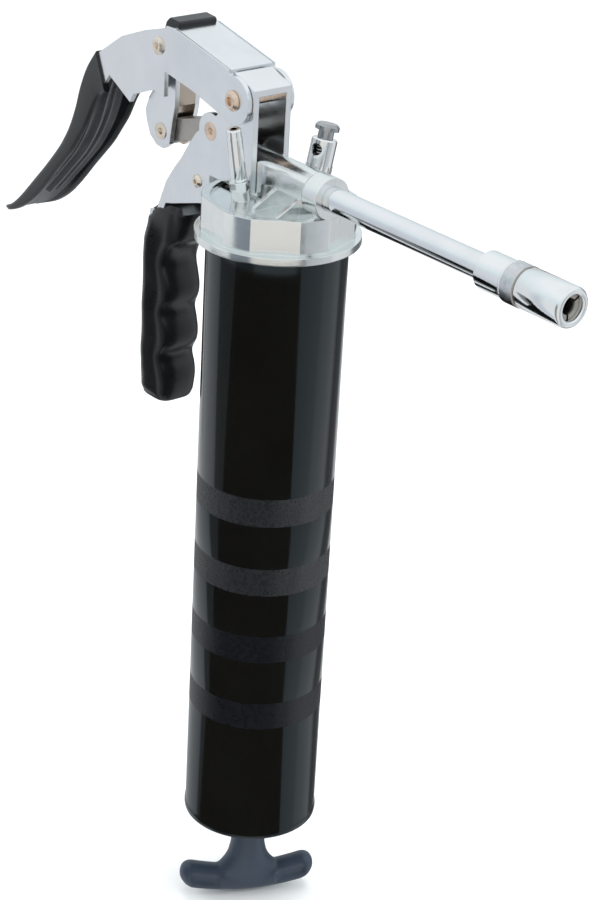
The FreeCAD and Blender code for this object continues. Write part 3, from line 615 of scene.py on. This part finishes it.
def make_lever_insert():
    """Tongue of the handle that runs along the steel lever and shows at its tip."""
    count = len(INSERT_OUTLINE)
    verts = []
    for y in (-INSERT_HALF, INSERT_HALF):
        verts += [(x * MM, y * MM, z * MM) for x, z in INSERT_OUTLINE]
    faces = [tuple(range(count)), tuple(reversed(range(count, 2 * count)))]
    for i in range(count):
        j = (i + 1) % count
        faces.append((i, i + count, j + count, j))
    tongue = new_object("lever_insert", verts, faces)
    bevel = tongue.modifiers.new("edge", "BEVEL")
    bevel.width = 0.0006
    bevel.segments = 3
    bevel.limit_method = "ANGLE"
    soften(tongue, 30)
    finish_piece(tongue, "lever", BLACK, "black_plastic")


def make_lever_handle():
    stations = lever_stations()
    make_lever_channel(stations)
    for number, rib in enumerate(RIBS):
        make_lever_rib(number, stations, *rib)
    make_lever_insert()


make_lever_handle()


# ---------------------------------------------------------------- rod handle
HANDLE_ANGLE = math.radians(63.5)
HANDLE_Z = -306.4
HANDLE_HALF = 30.4
HANDLE_STATIONS = 60
HANDLE_AROUND = 40
HANDLE_TALL = 6.2
HANDLE_WIDE = 5.6
# the arms rise by a power of the distance from the middle
ARM_RISE = 3.6
ARM_RISE_AT = 24.2
ARM_RISE_POWER = 1.7
ARM_RISE_MOST = 4.9
END_ROUND = 6.0
END_LEAST = 0.06
# the recess in each arm's two flanks, by share of the arm's length
RECESS_FROM = 0.42
RECESS_TO = 0.86
RECESS_DEPTH = 0.42
# the stem, as (half length along the handle, half width, z)
STEM = [
    (21, 5.6, -306.5), (19, 5.9, -303), (15.5, 6.3, -300.4), (12.4, 6.7, -298), (10.2, 7.0, -295.4),
    (8.7, 7.2, -292.4), (7.7, 7.2, -288), (7.2, 7.2, -282), (7.2, 7.2, -272.8), (6.8, 6.8, -271.6),
    (6.0, 6.0, -271.3),
]
SKIN_STEP = 0.00055


def handle_arms(along, side):
    rings = []
    for s in range(HANDLE_STATIONS + 1):
        share = math.sin((-1 + 2 * s / HANDLE_STATIONS) * math.pi / 2)
        out = abs(share)
        reach = share * HANDLE_HALF
        cap = min(1.0, (HANDLE_HALF - abs(reach)) / END_ROUND)
        scale = max(math.sqrt(max(0.0, 1 - (1 - cap) ** 2)), END_LEAST)
        rise = min(ARM_RISE * (abs(reach) / ARM_RISE_AT) ** ARM_RISE_POWER, ARM_RISE_MOST)
        tall = (HANDLE_TALL + 0.3 * out) * scale
        wide = (HANDLE_WIDE + 0.7 * out) * scale
        recess = RECESS_DEPTH if RECESS_FROM < out < RECESS_TO else 0.0
        ring = []
        for k in range(HANDLE_AROUND):
            angle = 2 * math.pi * k / HANDLE_AROUND
            c = math.cos(angle)
            flank = abs(c) ** 8
            p = along * reach + side * (wide * c * (1 - recess * flank))
            ring.append((p.x * MM, p.y * MM, (HANDLE_Z + rise + tall * math.sin(angle)) * MM))
        rings.append(ring)
    return loft("rod_handle", rings)


def handle_stem(along, side):
    rings = []
    for reach, wide, z in STEM:
        ring = []
        for k in range(HANDLE_AROUND):
            angle = 2 * math.pi * k / HANDLE_AROUND
            p = along * (reach * math.cos(angle)) + side * (wide * math.sin(angle))
            ring.append((p.x * MM, p.y * MM, z * MM))
        rings.append(ring)
    return loft("rod_handle_stem", rings)


def make_rod_handle():
    along = Vector((math.cos(HANDLE_ANGLE), math.sin(HANDLE_ANGLE), 0))
    side = Vector((-along.y, along.x, 0))
    bar = handle_arms(along, side)
    post = handle_stem(along, side)
    bm = bmesh.new()
    bm.from_mesh(bar.data)
    bm.from_mesh(post.data)
    bm.to_mesh(bar.data)
    bm.free()
    bpy.data.objects.remove(post)
    remesh = bar.modifiers.new("skin", "REMESH")
    remesh.mode = "VOXEL"
    remesh.voxel_size = SKIN_STEP
    ease = bar.modifiers.new("ease", "SMOOTH")
    ease.factor = 0.5
    ease.iterations = 7
    depsgraph = bpy.context.evaluated_depsgraph_get()
    mesh = bpy.data.meshes.new_from_object(bar.evaluated_get(depsgraph))
    bar.modifiers.clear()
    bar.data = mesh
    mesh.shade_smooth()
    finish_piece(bar, "rod", SLATE, "grey_plastic", "t_handle")


make_rod_handle()


# ---------------------------------------------------------------- coupler sleeve with its knurled ring
COUPLER_END_X = 161.4
COUPLER_Z = 25.2
COUPLER_AROUND = 96
COUPLER_KNURL_ROWS = 10
COUPLER_KNURL_DEPTH = 0.28
# outline as (radius, distance from the open end), before, along and after the knurled ring
COUPLER_REAR = [(5.6, -30.4), (7.5, -30.4), (7.9, -30.0), (7.95, -29.6)]
COUPLER_RING = (8.0, -29.3, 5.9)
COUPLER_FRONT = [
    (7.95, -23.1), (7.6, -22.8), (7.6, -22.3), (7.8, -22.0), (7.8, -1.8), (7.6, -1.0), (7.1, -0.3),
    (6.6, 0.0), (5.6, 0.0), (5.2, -0.3), (4.9, -0.7), (4.9, -1.4), (6.1, -8.4), (6.1, -22.4), (5.6, -22.4),
]
GROOVE_BANDS = 3


def coupler_profile():
    """Outline as (radius, along, kind): kind 0 is plain, 1 and 2 alternate in the knurl."""
    profile = [(radius, along, 0) for radius, along in COUPLER_REAR]
    radius, start, length = COUPLER_RING
    for row in range(COUPLER_KNURL_ROWS + 1):
        profile.append((radius, start + row * length / COUPLER_KNURL_ROWS, 1 + row % 2))
    return profile + [(radius, along, 0) for radius, along in COUPLER_FRONT]


def make_coupler():
    count = COUPLER_AROUND
    profile = coupler_profile()
    verts = []
    for radius, along, kind in profile:
        for i in range(count):
            sunk = kind and (i + kind) % 2 == 0
            r = radius - (COUPLER_KNURL_DEPTH if sunk else 0.0)
            angle = 2 * math.pi * i / count
            x = COUPLER_END_X + along
            verts.append((x * MM, r * math.cos(angle) * MM, (COUPLER_Z + r * math.sin(angle)) * MM))
    faces = []
    flat = []
    for r in range(len(profile)):
        s = (r + 1) % len(profile)
        band = bool(profile[r][2] and profile[s][2])
        for i in range(count):
            j = (i + 1) % count
            faces.append((r * count + i, r * count + j, s * count + j, s * count + i))
            flat.append(band)
    obj = new_object("coupler_shell", verts, faces)
    soften(obj, 40)
    finish_piece(obj, "head", CHROME, "chrome_steel", "coupler_sleeve")
    obj.data.materials.append(KNURL_METAL)
    obj.data.materials.append(DARK)
    # the groove rings take the dark steel as painted shade in the groove
    groove_start = len(COUPLER_REAR) + COUPLER_KNURL_ROWS + 1
    groove = range(groove_start, groove_start + GROOVE_BANDS)
    for index, (face, is_flat) in enumerate(zip(obj.data.polygons, flat)):
        face.use_smooth = not is_flat
        if is_flat:
            face.material_index = 1
        elif index // count in groove:
            face.material_index = 2


make_coupler()


# ---------------------------------------------------------------- floor, light, camera
FLOOR_SIZE = 12
FLOOR_GAP = 0.0002
LOWEST = CAD_BOX[0][2]
FLOOR_Z = LOWEST - FLOOR_GAP
bpy.ops.mesh.primitive_plane_add(size=FLOOR_SIZE, location=(0, 0, FLOOR_Z))
floor = bpy.context.object
floor.name = "floor"
floor_mat = bpy.data.materials.new("floor_pale")
floor_mat.use_nodes = True
floor_shader = floor_mat.node_tree.nodes["Principled BSDF"]
floor_shader.inputs["Base Color"].default_value = (0.93, 0.93, 0.93, 1)
floor_shader.inputs["Roughness"].default_value = 0.9
floor.data.materials.append(floor_mat)
floor.visible_glossy = False

# colour of the surrounding walls, as (bearing in degrees from the camera's side, red, green, blue)
CAMERA_BEARING = -40.3
STUDIO = [
    (-180, 0.74, 0.76, 0.78), (-108, 0.78, 0.80, 0.82), (-97, 0.60, 0.64, 0.70), (-86, 0.84, 0.86, 0.88),
    (-70, 0.84, 0.86, 0.87), (-63, 0.26, 0.30, 0.34), (-38, 0.24, 0.27, 0.31), (-30, 0.84, 0.82, 0.78),
    (30, 0.84, 0.82, 0.79), (37, 0.20, 0.21, 0.22), (43, 0.50, 0.53, 0.56), (80, 0.62, 0.65, 0.68),
    (86, 0.80, 0.82, 0.84), (116, 0.76, 0.78, 0.80), (130, 0.16, 0.17, 0.18), (150, 0.18, 0.19, 0.20),
    (158, 0.72, 0.74, 0.76), (180, 0.74, 0.76, 0.78),
]
world = bpy.data.worlds.new("studio")
bpy.context.scene.world = world
world.use_nodes = True
tree = world.node_tree
tree.nodes.clear()
world_out = tree.nodes.new("ShaderNodeOutputWorld")
sky = tree.nodes.new("ShaderNodeBackground")
tree.links.new(sky.outputs[0], world_out.inputs[0])
direction = tree.nodes.new("ShaderNodeTexCoord")
turned = tree.nodes.new("ShaderNodeVectorRotate")
turned.rotation_type = "Z_AXIS"
turned.inputs["Angle"].default_value = math.radians(-CAMERA_BEARING)
tree.links.new(direction.outputs["Generated"], turned.inputs["Vector"])
split = tree.nodes.new("ShaderNodeSeparateXYZ")
tree.links.new(turned.outputs[0], split.inputs[0])
bearing = tree.nodes.new("ShaderNodeMath")
bearing.operation = "ARCTAN2"
tree.links.new(split.outputs["Y"], bearing.inputs[0])
tree.links.new(split.outputs["X"], bearing.inputs[1])
unit = tree.nodes.new("ShaderNodeMapRange")
unit.inputs["From Min"].default_value = -math.pi
unit.inputs["From Max"].default_value = math.pi
tree.links.new(bearing.outputs[0], unit.inputs["Value"])
walls = tree.nodes.new("ShaderNodeValToRGB")
walls.color_ramp.interpolation = "EASE"
for index, (angle, red, green, blue) in enumerate(STUDIO):
    position = (angle + 180) / 360
    if index in (0, len(STUDIO) - 1):
        stop = walls.color_ramp.elements[0 if index == 0 else -1]
        stop.position = position
    else:
        stop = walls.color_ramp.elements.new(position)
    stop.color = (red, green, blue, 1)
tree.links.new(unit.outputs[0], walls.inputs[0])

# the walls give way to the ceiling; heights run from 0 straight down to 1 straight up
CEILING_FROM = 0.52
CEILING_FULL = 0.68
lift = tree.nodes.new("ShaderNodeValToRGB")
lift.color_ramp.elements[0].position = CEILING_FROM
lift.color_ramp.elements[0].color = (0, 0, 0, 1)
lift.color_ramp.elements[1].position = CEILING_FULL
lift.color_ramp.elements[1].color = (1, 1, 1, 1)
height = tree.nodes.new("ShaderNodeMapRange")
height.inputs["From Min"].default_value = -1
height.inputs["From Max"].default_value = 1
tree.links.new(split.outputs["Z"], height.inputs["Value"])
tree.links.new(height.outputs[0], lift.inputs[0])
ceiling = tree.nodes.new("ShaderNodeValToRGB")
ceiling.color_ramp.elements[0].position = 0.66
ceiling.color_ramp.elements[0].color = (0.80, 0.90, 0.93, 1)
ceiling.color_ramp.elements[1].position = 0.96
ceiling.color_ramp.elements[1].color = (0.95, 0.98, 1.0, 1)
middle = ceiling.color_ramp.elements.new(0.85)
middle.color = (0.98, 1.0, 1.02, 1)
tree.links.new(height.outputs[0], ceiling.inputs[0])
blend = tree.nodes.new("ShaderNodeMix")
blend.data_type = "RGBA"
tree.links.new(lift.outputs[0], blend.inputs["Factor"])

# a dark strip of the far wall, below the horizon
far_side = tree.nodes.new("ShaderNodeValToRGB")
strip = tree.nodes.new("ShaderNodeValToRGB")
for ramp, stops in (
    (far_side, ((0.06, 1), (0.12, 0), (0.88, 0), (0.94, 1))),
    (strip, ((0.315, 0), (0.33, 1), (0.40, 1), (0.43, 0))),
):
    ramp.color_ramp.elements[0].position = stops[0][0]
    ramp.color_ramp.elements[0].color = (stops[0][1],) * 3 + (1,)
    ramp.color_ramp.elements[1].position = stops[3][0]
    ramp.color_ramp.elements[1].color = (stops[3][1],) * 3 + (1,)
    for position, level in stops[1:3]:
        stop = ramp.color_ramp.elements.new(position)
        stop.color = (level, level, level, 1)
tree.links.new(unit.outputs[0], far_side.inputs[0])
tree.links.new(height.outputs[0], strip.inputs[0])
both = tree.nodes.new("ShaderNodeMath")
both.operation = "MULTIPLY"
tree.links.new(far_side.outputs[0], both.inputs[0])
tree.links.new(strip.outputs[0], both.inputs[1])
striped = tree.nodes.new("ShaderNodeMix")
striped.data_type = "RGBA"
striped.inputs["B"].default_value = (0.06, 0.07, 0.08, 1)
tree.links.new(both.outputs[0], striped.inputs["Factor"])
tree.links.new(walls.outputs[0], striped.inputs["A"])
tree.links.new(striped.outputs["Result"], blend.inputs["A"])
tree.links.new(ceiling.outputs[0], blend.inputs["B"])
tree.links.new(blend.outputs["Result"], sky.inputs[0])
sky.inputs[1].default_value = 1.0


def glow(name, level):
    """Matt material of an even brightness, for the backdrop and for cards that the gloss mirrors."""
    mat = bpy.data.materials.new(name)
    mat.use_nodes = True
    shader = mat.node_tree.nodes["Principled BSDF"]
    shader.inputs["Base Color"].default_value = (0.005, 0.005, 0.005, 1)
    shader.inputs["Roughness"].default_value = 1.0
    shader.inputs["Specular IOR Level"].default_value = 0.0
    shader.inputs["Emission Color"].default_value = (0.9, 0.95, 1.0, 1)
    shader.inputs["Emission Strength"].default_value = level
    return mat


def screen(name, rows, mat):
    """Stage surface from rows of (x, y, z), hidden from diffuse and shadow rays."""
    across = len(rows[0])
    verts = [p for row in rows for p in row]
    faces = []
    for r in range(len(rows) - 1):
        for i in range(across - 1):
            k = r * across + i
            faces.append((k, k + 1, k + across + 1, k + across))
    obj = new_object(name, verts, faces)
    obj.data.materials.append(mat)
    obj.visible_diffuse = False
    obj.visible_shadow = False
    return obj


def card(name, rows, mat):
    """Screen that only shows in reflections."""
    screen(name, rows, mat).visible_camera = False


CARD_R = 0.09
CARD_TOP = -0.0235
CARD_STEPS = 24
BACKDROP_R = 5.9
BACKDROP_LOW = FLOOR_Z - 0.1
BACKDROP_TOP = 6.0
BACKDROP_STEPS = 64


def arc(radius, z, start, stop, steps):
    """Row of points on a level arc, between two bearings in degrees."""
    row = []
    for k in range(steps + 1):
        angle = math.radians(start + (stop - start) * k / steps)
        row.append((radius * math.cos(angle), radius * math.sin(angle), z))
    return row


def curved_card(top, bottom):
    """Rows of a curved card from the bearings of its two upper and its two lower corners."""
    return [arc(CARD_R, CARD_TOP, *top, CARD_STEPS), arc(CARD_R, LOWEST, *bottom, CARD_STEPS)]


backdrop_rows = [arc(BACKDROP_R, z, 0, 360, BACKDROP_STEPS) for z in (BACKDROP_LOW, BACKDROP_TOP)]
screen("backdrop", backdrop_rows, glow("backdrop_pale", 0.95)).visible_glossy = False

BLACK_CARD = glow("black_card", 0.0)
GREY_CARD = glow("grey_card", 0.22)
card("card_middle", curved_card((-96, -6), (-122, 8)), BLACK_CARD)
card("card_left", curved_card((-124, -96), (-127, -122)), GREY_CARD)
grip_card_rows = [[(x, -0.022, z) for x in (-0.112, -0.074)] for z in (-0.020, -0.130)]
card("card_grip", grip_card_rows, BLACK_CARD)


def area_light(name, location, target, size, power, color=(1, 1, 1)):
    data = bpy.data.lights.new(name, "AREA")
    data.shape = "RECTANGLE"
    data.size = size[0]
    data.size_y = size[1]
    data.energy = power
    data.color = color
    lamp = bpy.data.objects.new(name, data)
    bpy.context.scene.collection.objects.link(lamp)
    lamp.location = location
    aim = Vector(target) - Vector(location)
    lamp.rotation_euler = aim.to_track_quat("-Z", "Y").to_euler()
    lamp.visible_glossy = False


area_light("key_left", (-0.9, -1.5, 0.9), target=(0, 0, -0.1), size=(0.7, 1.3), power=14)
area_light(
    "fill_right", (1.5, 0.9, 0.8), target=(0, 0, -0.1), size=(0.7, 1.3), power=12, color=(0.97, 0.99, 1)
)
area_light("top", (0.1, 0.1, 1.6), target=(0, 0, 0), size=(1.2, 1.2), power=16)

CAMERA_AT = Vector((0.6708, -0.5522, 0.3205))
CAMERA_RIGHT = Vector((0.6271, 0.7773, 0.0505))
CAMERA_UP = Vector((-0.3633, 0.2346, 0.9016))
camera_data = bpy.data.cameras.new("camera")
camera = bpy.data.objects.new("camera", camera_data)
bpy.context.scene.collection.objects.link(camera)
back_axis = CAMERA_RIGHT.cross(CAMERA_UP).normalized()
up_axis = back_axis.cross(CAMERA_RIGHT).normalized()
turn = Matrix((CAMERA_RIGHT.normalized(), up_axis, back_axis)).transposed()
camera.matrix_world = Matrix.Translation(CAMERA_AT) @ turn.to_4x4()
camera_data.sensor_width = 36
camera_data.lens = 93.44
camera_data.clip_start = 0.01
bpy.context.scene.camera = camera
bpy.context.scene.view_settings.view_transform = "Standard"
